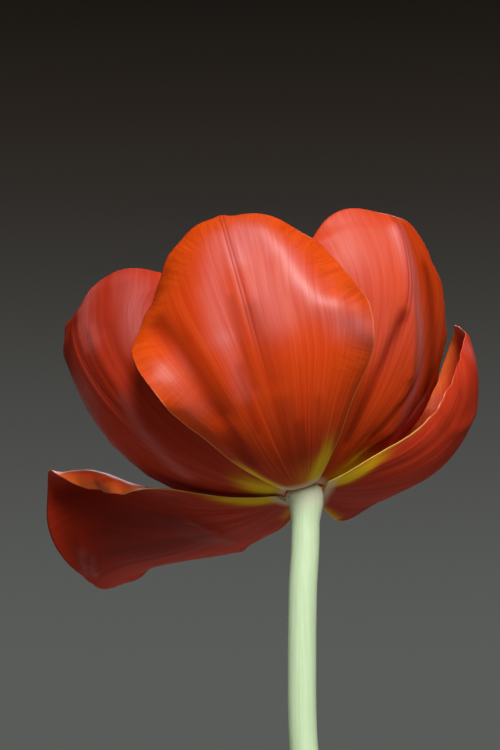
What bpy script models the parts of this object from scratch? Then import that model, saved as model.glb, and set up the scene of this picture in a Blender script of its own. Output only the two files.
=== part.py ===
"""A cut tulip standing in a small turned vase with water, two leaves on its stem.

The vase stands on the origin, +Z up, and the flower's open side faces -Y. Every size below
is in millimetres and is turned into metres where a mesh is made. The flower head has its
own frame: its origin is the middle of the receptacle, its +Z the flower's axis, and a petal
at azimuth 0 points towards -Y, one at 90 towards +X.
"""
import math

import bmesh
import bpy
import numpy as np
from mathutils import Matrix, Vector

MM = 0.001
SEAT_GAP = 0.3

# Vase
VASE_HEIGHT = 130.0
VASE_WALL = 3.5
VASE_FLOOR = 5.0
FOOT_RADIUS = 22.0
FOOT_EDGE = 1.2
FOOT_TOP = 3.0
# How far the inside's corner is drawn in at the floor, and how high its rounding reaches.
CORNER_INSET, CORNER_HEIGHT = 6.0, 12.0
# Heights up the outside, as shares of the vase's height, and the radius at each.
VASE_STATIONS = (0.0, 0.06, 0.2, 0.38, 0.58, 0.76, 0.88, 0.96, 1.0)
VASE_RADII = (22.5, 24.5, 31.0, 34.5, 30.5, 19.0, 13.4, 13.2, 14.6)
VASE_RINGS = 15
VASE_SIDES = 40
LIP_HEIGHT, LIP_ROUNDING = 1.5, 0.6
# The water fills the vase up to this ring of its inside.
WATER_RINGS = 11
WATER_GAP = 0.4

# Stem and receptacle
FLOWER_CENTRE = Vector((-3.0, 2.0, 262.0))
TILT_LEFT = 12.0
TILT_BACK = 8.0
STEM_RADIUS = 3.4
STEM_BEVEL_RESOLUTION = 4
STEM_ROUTE = (
    (8.0, 3.6, VASE_FLOOR + 2 * SEAT_GAP),
    (7.4, 2.5, 60.0),
    (4.6, 1.0, 115.0),
    (0.4, -0.6, 160.0),
    (-3.4, -1.3, 202.0),
    (-3.6, -1.0, 222.0),
    (-3.3, -0.2, 238.0),
    (-2.75, 0.6, 247.0),
    (-2.55, 1.1, 254.5),
)
STEM_POINTS = 22
# Distances along the flower's axis and the radius of the receptacle there.
RECEPTACLE = (
    (-3.2, 4.1), (-1.8, 4.5), (-0.2, 4.45), (0.2, 4.1),
    (0.5, 3.85), (1.5, 3.7), (2.0, 3.1),
)

# Petals and leaves
BLADE_THICKNESS = 0.7
PETAL_COLUMNS, PETAL_ROWS = 16, 20
LEAF_COLUMNS, LEAF_ROWS = 8, 22
# Places from root (0) to tip (1) where a blade's angles and half widths are given.
STATIONS = (0.0, 0.12, 0.3, 0.5, 0.7, 0.85, 1.0)
OUTER_SEAT = (4.8, -0.5)
INNER_SEAT = (4.2, 0.8)
NONE = (0, 0, 0, 0, 0, 0, 0)


def half(width, cup, flare=NONE, **outline):
    """One half of a blade: its half widths, how far it is turned inwards at its margin (cup)
    and how much its last stretch is turned back out (a negative flare), in degrees, and the
    outline: shoulder is how far below the tip the margin begins, roundness and fullness
    shape its curve, lobe raises it beside the tip, and flare_from is where the flare starts."""
    usual = dict(shoulder=0.42, roundness=2.0, fullness=2.0, lobe=0.0, flare_from=0.45)
    return dict(usual, width=width, cup=cup, flare=flare, **outline)


def blade(length, seat, lean, left, right, **more):
    """A petal or leaf: lean is the angle of its midrib from the upright at each station, sway
    its angle to the side, twist its turn about the midrib, and fold the angle of each half
    at the midrib."""
    usual = dict(sway=NONE, twist=NONE, fold=0.0, point=0.012, azimuth=0.0)
    return dict(usual, length=length, seat=seat, lean=lean, left=left, right=right, **more)


PETALS = {
    "petal_outer_front": blade(
        azimuth=-7, length=77, seat=OUTER_SEAT, fold=-5,
        lean=(84, 70, 48, 22, 4, -8, -16), sway=(0, 0, 0, -1, -2, -3, -3),
        left=half(
            width=(4.5, 12, 18.5, 26.2, 31.3, 31, 27), cup=(20, 35, 25, 20, 45, 60, 60),
            flare=(0, 0, 0, -40, -20, 10, 20), shoulder=0.49, roundness=1.5, fullness=2.1,
            lobe=0.05,
        ),
        right=half(
            width=(4.5, 11, 19, 27.5, 27.4, 29, 26), cup=(20, 35, 35, 40, 50, 60, 55),
            flare=(0, 0, 0, -50, -40, 0, 20), roundness=3.1, fullness=1.12, lobe=-0.01,
        ),
    ),
    "petal_outer_right": blade(
        azimuth=108, length=75, seat=OUTER_SEAT, fold=6,
        lean=(99, 95, 76, 49, 24, 4, -24),
        left=half(
            width=(4.5, 12, 17, 19, 18, 16, 14), cup=(20, 35, 45, 55, 65, 80, 80),
            shoulder=0.45,
        ),
        right=half(
            width=(4.5, 15, 21, 21, 19, 17, 16), cup=(-22, -16, 20, 60, 80, 80, 70),
            shoulder=0.45,
        ),
    ),
    "petal_outer_left": blade(
        azimuth=231, length=68.2, seat=OUTER_SEAT, fold=2,
        lean=(95, 92, 86, 81, 78, 83, 99), twist=(0, 0, -4, -8, -12, -14, -14),
        left=half(
            width=(4.5, 9, 14.5, 18.2, 21.7, 25.5, 20.5), cup=(20, -6, 13, 18, 44, 65, 35),
            shoulder=0.31, roundness=1.85, fullness=1.83, lobe=0.06,
        ),
        right=half(
            width=(4.5, 12, 22, 30.5, 34.4, 33, 29.5), cup=(20, 30, 45, 68, 92, 98, 94),
            flare=(0, 0, -30, -150, -225, -120, -20), flare_from=0.7,
            shoulder=0.145, roundness=2.2,
        ),
    ),
    "petal_inner_right": blade(
        azimuth=54, length=70.4, seat=INNER_SEAT, fold=3,
        lean=(75, 62, 51, 38, 22, 5, -10), twist=(0, 4, 10, 12, 12, 12, 12),
        left=half(
            width=(4, 11, 18, 24, 28, 30, 29.3), cup=(20, 40, 60, 70, 70, 70, 70),
            shoulder=0.14, roundness=1.8, fullness=1.7, lobe=0.08,
        ),
        right=half(
            width=(4, 12, 23, 30.8, 30.5, 29, 25.5), cup=(0, 10, 28, 45, 47, 49, 47),
            shoulder=0.44, roundness=2.2, lobe=0.048,
        ),
    ),
    "petal_inner_back": blade(
        azimuth=171, length=74, seat=INNER_SEAT, fold=6,
        lean=(80, 70, 56, 42, 22, 4, -14),
        left=half(width=(4, 11, 22, 30, 32, 31, 29), cup=(20, 40, 50, 55, 55, 55, 60)),
        right=half(
            width=(4, 11, 22, 29, 31, 30, 28), cup=(20, 40, 50, 50, 50, 55, 60),
            shoulder=0.38,
        ),
    ),
    "petal_inner_left": blade(
        azimuth=-74, length=72.4, seat=INNER_SEAT,
        lean=(80, 71, 56, 42, 26, 12, -10), twist=(0, -7, -14, -19, -20, -20, -20),
        left=half(
            width=(4, 10.5, 20.5, 21.6, 22.4, 21.8, 22.2), cup=(10, 28, 42, 50, 58, 65, 60),
            shoulder=0.324, roundness=2.2, fullness=1.9, lobe=0.03,
        ),
        right=half(
            width=(4, 10.5, 18.5, 23, 26, 27.5, 29.4), cup=(20, 29, 47, 57, 60, 60, 58),
            shoulder=-0.08, roundness=1.55, fullness=1.1, lobe=0.08,
        ),
    ),
}

# Each leaf clasps the stem at this height, as a share of the stem's route from the bottom.
LEAVES = {
    "leaf_lower": (0.517, blade(
        azimuth=-52, length=128, seat=(STEM_RADIUS + 0.75, 0.0), fold=0, point=0.03,
        lean=(2, 8, 34, 62, 84, 100, 116), sway=(0, 0, 2, 5, 8, 6, 2),
        left=half(
            width=(7.4, 11, 15, 16, 13, 9, 6), cup=(100, 92, 60, 42, 34, 26, 20),
            shoulder=0.8, roundness=1.6, fullness=1.3,
        ),
        right=half(
            width=(7.4, 11, 14, 15, 13, 9, 6), cup=(100, 92, 56, 36, 34, 30, 20),
            shoulder=0.8, roundness=1.6, fullness=1.3,
        ),
    )),
    "leaf_upper": (0.582, blade(
        azimuth=118, length=98, seat=(STEM_RADIUS + 0.75, 0.0), fold=0, point=0.03,
        lean=(2, 10, 44, 74, 88, 96, 104), sway=(0, 0, -3, -6, -6, -2, 2),
        left=half(
            width=(7.4, 10, 12, 12, 10, 7, 5), cup=(100, 88, 56, 40, 34, 26, 20),
            shoulder=0.8, roundness=1.6, fullness=1.3,
        ),
        right=half(
            width=(7.4, 10, 12, 12.5, 10, 7, 5), cup=(100, 88, 60, 38, 30, 26, 20),
            shoulder=0.8, roundness=1.6, fullness=1.3,
        ),
    )),
}

# Pistil: a three-sided ovary under a three-lobed stigma
OVARY_BASE = 2.35
OVARY_HEIGHT = 21.0
OVARY_RADIUS = 3.3
# Shares of the ovary's height, and of its radius at each.
OVARY_STATIONS = (0.0, 0.15, 0.45, 0.75, 0.9, 1.0)
OVARY_SWELL = (0.55, 0.85, 1.0, 0.85, 0.7, 0.6)
OVARY_RIDGE = 0.1
STIGMA_REACH = 2.3
STIGMA_DROOP = 14.0
STIGMA_LOBE = (3.6, 1.3, 1.5)

# Stamens: a low ring round the ovary's foot that carries six filaments and anthers
STAMEN_COUNT = 6
RING_SIDES = 24
RING_INNER, RING_OUTER = 2.9, 4.0
RING_BASE, RING_TOP = 2.35, 3.2
FILAMENT_LENGTH = 9.0
FILAMENT_RADII = (0.95, 0.55)
FILAMENT_LEAN = 16.0
ANTHER_SIZE = (1.35, 1.1, 6.2)

# Colour, roughness of each material
FINISHES = {
    "glaze": ((0.80, 0.78, 0.73), 0.22),
    "water": ((0.72, 0.82, 0.80), 0.05),
    "stem_green": ((0.56, 0.67, 0.38), 0.5),
    "leaf_green": ((0.13, 0.26, 0.12), 0.55),
    "petal_red": ((0.62, 0.07, 0.02), 0.45),
    "stigma_cream": ((0.62, 0.60, 0.30), 0.6),
    "anther_purple": ((0.03, 0.012, 0.03), 0.8),
}


def through(stations, values, places):
    """Values at the given places, on a smooth curve through those at the stations."""
    stations = np.asarray(stations, float)
    values = np.asarray(values, float)
    places = np.clip(places, stations[0], stations[-1])
    slopes = np.gradient(values)
    slopes[1:-1] = (values[2:] - values[:-2]) / (stations[2:] - stations[:-2])
    slopes[0] = (values[1] - values[0]) / (stations[1] - stations[0])
    slopes[-1] = (values[-1] - values[-2]) / (stations[-1] - stations[-2])
    index = np.clip(np.searchsorted(stations, places, side="right") - 1, 0, len(stations) - 2)
    span = stations[index + 1] - stations[index]
    t = (places - stations[index]) / span
    return (
        (1 + 2 * t) * (1 - t) ** 2 * values[index]
        + t * (1 - t) ** 2 * span * slopes[index]
        + t * t * (3 - 2 * t) * values[index + 1]
        + t * t * (t - 1) * span * slopes[index + 1]
    )


def ease(start, end, x):
    t = np.clip((x - start) / (end - start), 0, 1)
    return t * t * (3 - 2 * t)


def running_sum(rates, step):
    """The integral of a row of vectors that are a step apart, starting at nought."""
    total = np.zeros_like(rates)
    total[1:] = np.cumsum((rates[1:] + rates[:-1]) * (step / 2), axis=0)
    return total


def blade_surface(shape, across, along):
    """The middle surface of a blade in its own frame, -Y outwards and +Z up. across runs
    from -1 at the left margin to 1 at the right one, along from 0 at the root to 1."""
    fine = np.linspace(0, 1, 161)
    lean, sway, twist = (
        np.radians(through(STATIONS, shape[key], fine))[:, None]
        for key in ("lean", "sway", "twist")
    )
    outwards, sideways, upwards = np.array([[0, -1, 0], [1, 0, 0], [0, 0, 1]], float)
    tangent = np.cos(sway) * (np.sin(lean) * outwards + np.cos(lean) * upwards)
    tangent = tangent + np.sin(sway) * sideways
    midrib = running_sum(tangent, shape["length"] / (len(fine) - 1))
    midrib = midrib + shape["seat"][0] * outwards + shape["seat"][1] * upwards
    span = np.cross(tangent, np.cos(lean) * outwards - np.sin(lean) * upwards)
    span = span / np.linalg.norm(span, axis=1)[:, None]
    back = np.cross(span, tangent)
    spans = np.cos(twist) * span + np.sin(twist) * back
    backs = np.cos(twist) * back - np.sin(twist) * span

    points = np.zeros((len(across), 3))
    steps = np.linspace(0, 1, 25)
    for sign, name in ((-1, "left"), (1, "right")):
        side = shape[name]
        chosen = across * sign >= 0
        u = np.abs(across[chosen])
        drop = 1 - np.clip(1 - u ** side["roundness"], 0, 1) ** (1 / side["fullness"])
        reach = 1 - side["shoulder"] * drop
        reach = reach + side["lobe"] * np.sin(math.pi * np.clip(u / 0.9, 0, 1))
        reach = reach + shape["point"] * np.exp(-((u / 0.06) ** 2))
        s = along[chosen] * reach
        width, cup, flare = (
            through(STATIONS, side[key], s)[:, None] for key in ("width", "cup", "flare")
        )
        uu = u[:, None] * steps
        fold = shape["fold"] * ease(0.02, 0.2, s)[:, None]
        turn = fold * ease(0, 0.15, uu) + cup * uu + flare * ease(side["flare_from"], 1, uu)
        turn = np.radians(turn)
        reach_out = sign * width[:, 0] * np.trapz(np.cos(turn), uu, axis=1)
        reach_in = -width[:, 0] * np.trapz(np.sin(turn), uu, axis=1)
        at = [
            np.stack([np.interp(s, fine, table[:, axis]) for axis in range(3)], axis=-1)
            for table in (midrib, spans, backs)
        ]
        past_tip = np.clip(s - 1, 0, None)[:, None] * shape["length"] * tangent[-1]
        points[chosen] = at[0] + past_tip + reach_out[:, None] * at[1] + reach_in[:, None] * at[2]
    return points


def material(name):
    colour, roughness = FINISHES[name]
    made = bpy.data.materials.get(name) or bpy.data.materials.new(name)
    made.use_nodes = True
    shader = made.node_tree.nodes["Principled BSDF"]
    shader.inputs["Base Color"].default_value = (*colour, 1)
    shader.inputs["Roughness"].default_value = roughness
    made.diffuse_color = (*colour, 1)
    return made


def add_object(name, data, finish, collection):
    obj = bpy.data.objects.new(name, data)
    collection.objects.link(obj)
    obj.data.materials.clear()
    obj.data.materials.append(material(finish))
    return obj


def mesh_from(bm, name):
    mesh = bpy.data.meshes.new(name)
    bm.to_mesh(mesh)
    bm.free()
    mesh.shade_smooth()
    return mesh


def add_blade(name, shape, columns, rows, finish, collection):
    """A blade's open surface as a grid of triangles, given its thickness by Solidify."""
    bm = bmesh.new()
    bmesh.ops.create_grid(bm, x_segments=columns, y_segments=rows, size=1.0)
    places = np.array([vert.co[:2] for vert in bm.verts])
    across = np.sin(places[:, 0] * math.pi / 2)
    along = (places[:, 1] + 1) / 2
    for vert, point in zip(bm.verts, blade_surface(shape, across, along)):
        vert.co = Vector(point) * MM
    bmesh.ops.triangulate(bm, faces=bm.faces, quad_method="SHORT_EDGE")
    bmesh.ops.recalc_face_normals(bm, faces=bm.faces)
    obj = add_object(name, mesh_from(bm, name), finish, collection)
    solidify = obj.modifiers.new("thickness", "SOLIDIFY")
    solidify.thickness = BLADE_THICKNESS * MM
    solidify.offset = 0
    obj.rotation_euler.z = math.radians(shape["azimuth"])
    return obj


def add_turned(name, profile, sides, finish, collection):
    """A profile of (radius, height) points from the axis inside to the axis below, turned."""
    mesh = bpy.data.meshes.new(name)
    points = [(radius * MM, 0, height * MM) for radius, height in profile]
    mesh.from_pydata(points, [(i, i + 1) for i in range(len(points) - 1)], [])
    obj = add_object(name, mesh, finish, collection)
    screw = obj.modifiers.new("turn", "SCREW")
    screw.steps = sides
    screw.render_steps = sides
    screw.use_merge_vertices = True
    screw.merge_threshold = 0.00005
    screw.use_smooth_shade = True
    return obj


def vase_radius(height):
    return float(through(VASE_STATIONS, VASE_RADII, height / VASE_HEIGHT))


def bore_radius(height):
    """The vase's inside radius, drawn in towards its floor."""
    inset = CORNER_INSET * (1 - ease(VASE_FLOOR, VASE_FLOOR + CORNER_HEIGHT, height))
    return vase_radius(height) - VASE_WALL - inset


def bore():
    """The rings of the vase's inside, from the floor up to the lip."""
    heights = np.linspace(VASE_FLOOR, VASE_HEIGHT - LIP_HEIGHT, VASE_RINGS)
    return [(bore_radius(z), z) for z in heights]


def add_vase(collection):
    inside = [(0, VASE_FLOOR)] + bore()
    top = vase_radius(VASE_HEIGHT)
    below_rim = VASE_HEIGHT - LIP_ROUNDING / 2
    rim = [
        (top - VASE_WALL + LIP_ROUNDING, below_rim),
        (top - VASE_WALL / 2, VASE_HEIGHT),
        (top - LIP_ROUNDING, below_rim),
    ]
    down = np.linspace(VASE_HEIGHT - LIP_HEIGHT, FOOT_TOP, VASE_RINGS)
    outside = [(vase_radius(z), z) for z in down]
    foot = [(FOOT_RADIUS, FOOT_EDGE), (FOOT_RADIUS - FOOT_EDGE, 0), (0, 0)]
    return add_turned("vase", inside + rim + outside + foot, VASE_SIDES, "glaze", collection)


def stem_centres(extra=0.0):
    """Points along the stem, evenly spaced up its route, then along the flower's axis, with
    the radius at each. extra is added to the radius."""
    route = np.array(STEM_ROUTE)
    lengths = np.linalg.norm(np.diff(route, axis=0), axis=1)
    at = np.concatenate([[0], np.cumsum(lengths)])
    places = np.linspace(0, at[-1], STEM_POINTS)
    up = np.stack([through(at, route[:, axis], places) for axis in range(3)], axis=-1)
    points = [(Vector(point), STEM_RADIUS + extra) for point in up]
    axis = flower_frame().to_3x3() @ Vector((0, 0, 1))
    for distance, radius in RECEPTACLE:
        points.append((FLOWER_CENTRE + axis * distance, radius + extra))
    return points


def add_tube(name, points, finish, collection):
    """A round tube through points, as a curve with a bevel and caps."""
    curve = bpy.data.curves.new(name, "CURVE")
    curve.dimensions = "3D"
    curve.bevel_depth = STEM_RADIUS * MM
    curve.bevel_resolution = STEM_BEVEL_RESOLUTION
    curve.use_fill_caps = True
    spline = curve.splines.new("POLY")
    spline.points.add(len(points) - 1)
    for point, (centre, radius) in zip(spline.points, points):
        point.co = (*(centre * MM), 1)
        point.radius = radius / STEM_RADIUS
    return add_object(name, curve, finish, collection)


def as_mesh(obj):
    """The same object with its modifiers or bevel made into a welded mesh."""
    bpy.context.view_layer.update()
    graph = bpy.context.evaluated_depsgraph_get()
    mesh = bpy.data.meshes.new_from_object(obj.evaluated_get(graph))
    bm = bmesh.new()
    bm.from_mesh(mesh)
    bmesh.ops.remove_doubles(bm, verts=bm.verts, dist=0.000001)
    bm.to_mesh(mesh)
    bm.free()
    name, collection, matrix = obj.name, obj.users_collection[0], obj.matrix_world.copy()
    bpy.data.objects.remove(obj)
    made = bpy.data.objects.new(name, mesh)
    made.matrix_world = matrix
    collection.objects.link(made)
    return made


def add_water(collection, cutters):
    """The water, clear of the vase's inside by a small gap, with a hole for the stem."""
    rings = [(radius - WATER_GAP, z) for radius, z in bore()[:WATER_RINGS]]
    rings[0] = (rings[0][0], VASE_FLOOR + SEAT_GAP)
    level = rings[-1][1]
    profile = [(0, level)] + rings[::-1] + [(0, rings[0][1])]
    water = add_turned("water", profile, VASE_SIDES, "water", collection)
    points = stem_centres(extra=SEAT_GAP)
    (first, radius), (second, _) = points[:2]
    points.insert(0, (first + (first - second) / 2, radius))
    inside = [point for point in points if point[0].z < VASE_HEIGHT]
    hole = as_mesh(add_tube("stem_hole", inside, "water", cutters))
    hole.hide_render = True
    hole.display_type = "WIRE"
    cut = water.modifiers.new("stem_hole", "BOOLEAN")
    cut.object = hole
    return water


def flower_frame():
    """From the flower head's frame to the world, in millimetres."""
    turn = Matrix.Rotation(math.radians(-TILT_LEFT), 4, "Y")
    turn = turn @ Matrix.Rotation(math.radians(-TILT_BACK), 4, "X")
    return Matrix.Translation(FLOWER_CENTRE) @ turn


def add_flower_head(collection):
    """The empty that carries the petals, the pistil and the stamens."""
    head = bpy.data.objects.new("flower_head", None)
    frame = flower_frame()
    head.location = frame.translation * MM
    head.rotation_euler = frame.to_euler()
    collection.objects.link(head)
    return head


def add_leaf(name, share, shape, collection):
    """A leaf whose root clasps the stem and whose axis follows it."""
    centres = [centre for centre, _ in stem_centres()][:STEM_POINTS]
    place = share * (STEM_POINTS - 1)
    index = int(place)
    lower, upper = centres[index], centres[index + 1]
    obj = add_blade(name, shape, LEAF_COLUMNS, LEAF_ROWS, "leaf_green", collection)
    along_stem = Vector((0, 0, 1)).rotation_difference(upper - lower).to_matrix().to_4x4()
    spin = Matrix.Rotation(math.radians(shape["azimuth"]), 4, "Z")
    centre = lower.lerp(upper, place - index) * MM
    obj.matrix_world = Matrix.Translation(centre) @ along_stem @ spin
    return obj


def ellipsoid(size, matrix, segments=10, rings=6):
    bm = bmesh.new()
    scale = Matrix.Diagonal((*[side * MM for side in size], 1))
    bmesh.ops.create_uvsphere(
        bm, u_segments=segments, v_segments=rings, radius=1.0, matrix=matrix @ scale
    )
    return bm


def joined(base, pieces):
    """The base with the pieces of a collection joined to it by one union."""
    union = base.modifiers.new("join", "BOOLEAN")
    union.operation = "UNION"
    union.operand_type = "COLLECTION"
    union.collection = pieces
    made = as_mesh(base)
    for piece in list(pieces.objects):
        bpy.data.objects.remove(piece)
    bpy.data.collections.remove(pieces)
    made.data.shade_smooth()
    return made


def loose_collection(name):
    """A collection for pieces that are about to be joined."""
    made = bpy.data.collections.new(name)
    bpy.context.scene.collection.children.link(made)
    return made


def add_pistil(head, collection):
    bm = ellipsoid((1, 1, 1), Matrix.Identity(4), segments=18, rings=12)
    for vert in bm.verts:
        x, y, z = vert.co / MM
        share = (z + 1) / 2
        angle = math.atan2(y, x)
        swell = float(through(OVARY_STATIONS, OVARY_SWELL, share))
        rounding = min(1.0, math.hypot(x, y) * 2.4)
        ridges = 1 + OVARY_RIDGE * math.cos(3 * angle)
        radius = OVARY_RADIUS * swell * rounding * ridges
        vert.co.x = radius * math.cos(angle) * MM
        vert.co.y = radius * math.sin(angle) * MM
        vert.co.z = (OVARY_BASE + OVARY_HEIGHT * share) * MM
    ovary = add_object("pistil", mesh_from(bm, "pistil"), "stigma_cream", collection)
    lobes = loose_collection("stigma_lobes")
    for index in range(3):
        spin = Matrix.Rotation(math.radians(120 * index), 4, "Z")
        place = Matrix.Translation(Vector((STIGMA_REACH, 0, OVARY_BASE + OVARY_HEIGHT)) * MM)
        droop = Matrix.Rotation(math.radians(STIGMA_DROOP), 4, "Y")
        lobe = mesh_from(ellipsoid(STIGMA_LOBE, spin @ place @ droop), "stigma_lobe")
        add_object("stigma_lobe", lobe, "stigma_cream", lobes)
    pistil = joined(ovary, lobes)
    pistil.parent = head
    return pistil


def add_stamens(head, collection):
    middle = (RING_INNER + RING_OUTER) / 2
    profile = [
        (RING_INNER, RING_TOP), (RING_OUTER, RING_TOP), (RING_OUTER, RING_BASE),
        (RING_INNER, RING_BASE), (RING_INNER, RING_TOP),
    ]
    ring = as_mesh(add_turned("stamens", profile, RING_SIDES, "anther_purple", collection))
    pieces = loose_collection("filaments_and_anthers")
    for index in range(STAMEN_COUNT):
        spin = Matrix.Rotation(math.tau * (index + 0.5) / STAMEN_COUNT, 4, "Z")
        foot = Matrix.Translation(Vector((middle, 0, (RING_BASE + RING_TOP) / 2)) * MM)
        lean = Matrix.Rotation(math.radians(FILAMENT_LEAN), 4, "Y")
        stand = spin @ foot @ lean
        bm = bmesh.new()
        bmesh.ops.create_cone(
            bm, cap_ends=True, segments=8, depth=FILAMENT_LENGTH * MM,
            radius1=FILAMENT_RADII[0] * MM, radius2=FILAMENT_RADII[1] * MM,
            matrix=stand @ Matrix.Translation((0, 0, FILAMENT_LENGTH / 2 * MM)),
        )
        add_object("filament", mesh_from(bm, "filament"), "anther_purple", pieces)
        height = FILAMENT_LENGTH + 0.8 * ANTHER_SIZE[2]
        top = stand @ Matrix.Translation((0, 0, height * MM))
        anther = mesh_from(ellipsoid(ANTHER_SIZE, top), "anther")
        add_object("anther", anther, "anther_purple", pieces)
    stamens = joined(ring, pieces)
    stamens.parent = head
    return stamens


def main():
    for obj in list(bpy.data.objects):
        bpy.data.objects.remove(obj)
    parts = bpy.data.collections.new("tulip_in_vase")
    cutters = bpy.data.collections.new("cutters")
    for collection in (parts, cutters):
        bpy.context.scene.collection.children.link(collection)
    cutters.hide_render = True

    add_vase(parts)
    add_water(parts, cutters)
    add_tube("stem", stem_centres(), "stem_green", parts)
    for name, (share, shape) in LEAVES.items():
        add_leaf(name, share, shape, parts)
    head = add_flower_head(parts)
    for name, shape in PETALS.items():
        petal = add_blade(name, shape, PETAL_COLUMNS, PETAL_ROWS, "petal_red", parts)
        petal.parent = head
    add_pistil(head, parts)
    add_stamens(head, parts)


main()
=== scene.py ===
"""A cut tulip in a turned vase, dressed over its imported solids.

Sizes are in millimetres unless a name says otherwise; MM turns them into metres. The flower
head has its own frame: its origin is the middle of the receptacle and its +Z the flower's axis.
"""
import math

import bmesh
import bpy
import numpy as np
from mathutils import Matrix, Vector


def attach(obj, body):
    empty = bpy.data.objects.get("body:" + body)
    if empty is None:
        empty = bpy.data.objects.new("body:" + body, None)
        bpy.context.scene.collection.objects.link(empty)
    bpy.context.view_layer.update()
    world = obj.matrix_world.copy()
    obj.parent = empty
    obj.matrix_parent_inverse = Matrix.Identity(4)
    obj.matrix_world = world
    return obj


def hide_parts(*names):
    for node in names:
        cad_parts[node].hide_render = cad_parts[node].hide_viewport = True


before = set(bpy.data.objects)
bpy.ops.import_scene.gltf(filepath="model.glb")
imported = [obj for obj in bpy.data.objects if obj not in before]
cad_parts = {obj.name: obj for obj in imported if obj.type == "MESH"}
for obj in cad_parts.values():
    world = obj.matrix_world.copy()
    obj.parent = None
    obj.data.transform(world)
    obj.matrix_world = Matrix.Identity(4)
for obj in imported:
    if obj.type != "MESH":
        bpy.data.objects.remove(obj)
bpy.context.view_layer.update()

MM = 0.001


# Room
#
# A pale matt floor, a dim grey studio behind it, one soft lamp in front of the flower and
# above it, and two weak ones that keep its back and sides from going black.

class Wire:
    """A socket of a material, on which sums can be written; each adds the nodes it needs."""

    def __init__(self, tree, socket=None):
        self.tree = tree
        self.socket = socket

    def fill(self, made, inputs):
        for key, value in inputs.items():
            if isinstance(value, Wire):
                self.tree.links.new(value.socket, made.inputs[key])
            else:
                made.inputs[key].default_value = value

    def node(self, kind, settings={}, inputs={}, output=0):
        """A new node: its settings first, then the values or wires of its sockets."""
        made = self.tree.nodes.new(kind)
        for name, value in settings.items():
            setattr(made, name, value)
        self.fill(made, inputs)
        return Wire(self.tree, made.outputs[output])

    def sum(self, operation, first, second=0.0):
        return self.node("ShaderNodeMath", {"operation": operation}, {0: first, 1: second})

    def __add__(self, other):
        return self.sum("ADD", self, other)

    def __sub__(self, other):
        return self.sum("SUBTRACT", self, other)

    def __rsub__(self, other):
        return self.sum("SUBTRACT", other, self)

    def __mul__(self, other):
        return self.sum("MULTIPLY", self, other)

    def __truediv__(self, other):
        return self.sum("DIVIDE", self, other)

    def __pow__(self, other):
        return self.sum("POWER", self, other)

    def __abs__(self):
        return self.sum("ABSOLUTE", self)

    __radd__ = __add__
    __rmul__ = __mul__

    def rise(self, start, end):
        """0 up to start, 1 from end on, eased between them; the other way round it falls."""
        return self.node(
            "ShaderNodeMapRange",
            {"interpolation_type": "SMOOTHSTEP"},
            {"Value": self, "From Min": start, "From Max": end},
        )

    def tint(self, low, high):
        """The colour low where this is 0, and high where it is 1."""
        low, high = (c if isinstance(c, Wire) else (*c, 1.0) for c in (low, high))
        return self.node(
            "ShaderNodeMix", {"data_type": "RGBA"}, {0: self, 6: low, 7: high}, output=2
        )

    def grain(self, scale, detail=2.0, roughness=0.5):
        """Noise between 0 and 1 at these coordinates."""
        return self.node(
            "ShaderNodeTexNoise",
            {},
            {"Vector": self, "Scale": scale, "Detail": detail, "Roughness": roughness},
        )

    def split(self):
        """The three numbers of a vector."""
        made = self.tree.nodes.new("ShaderNodeSeparateXYZ")
        self.fill(made, {0: self})
        return [Wire(self.tree, out) for out in made.outputs]

    def vector(self, x, y, z):
        return self.node("ShaderNodeCombineXYZ", {}, {0: x, 1: y, 2: z})

    def relief(self, height):
        """A normal for a surface that is raised by self times height metres."""
        return self.node(
            "ShaderNodeBump", {}, {"Height": self, "Strength": 1.0, "Distance": height}
        )


def new_finish(name, constants):
    """A material, its first wire, and its shader with the constants set on its sockets."""
    made = bpy.data.materials.new(name)
    made.use_nodes = True
    shader = made.node_tree.nodes["Principled BSDF"]
    for socket, value in constants.items():
        shader.inputs[socket].default_value = value
    return made, Wire(made.node_tree), shader


def floor_finish():
    made, wire, shader = new_finish("floor_matt", {"Roughness": 0.8})
    at = wire.node("ShaderNodeTexCoord", output="Object")
    cloud = at.grain(1.5, detail=3.0)
    wire.fill(shader, {"Base Color": cloud.tint((0.54, 0.54, 0.53), (0.58, 0.58, 0.57))})
    return made


FLOOR_RADIUS = 14.0
floor_mesh = bpy.data.meshes.new("floor")
bm = bmesh.new()
bmesh.ops.create_circle(bm, cap_ends=True, segments=96, radius=FLOOR_RADIUS)
bm.to_mesh(floor_mesh)
bm.free()
floor = bpy.data.objects.new("floor", floor_mesh)
floor.data.materials.append(floor_finish())
bpy.context.scene.collection.objects.link(floor)

# The studio behind is light grey at the horizon and darker above it.
STUDIO_LOW = (0.102, 0.107, 0.102)
STUDIO_HIGH = (0.0232, 0.0185, 0.0152)
STUDIO_TOP = (0.0095, 0.0075, 0.0058)
world = bpy.data.worlds.new("studio")
world.use_nodes = True
bpy.context.scene.world = world
sky = Wire(world.node_tree)
upwards = sky.node("ShaderNodeTexCoord", output="Generated").split()[2]
studio = upwards.rise(0.13, 0.36).tint(STUDIO_LOW, STUDIO_HIGH)
sky.fill(
    world.node_tree.nodes["Background"],
    {"Color": upwards.rise(0.33, 0.41).tint(studio, STUDIO_TOP)},
)

FLOWER_CENTRE = Vector((-3.0, 2.0, 262.0))


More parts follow.
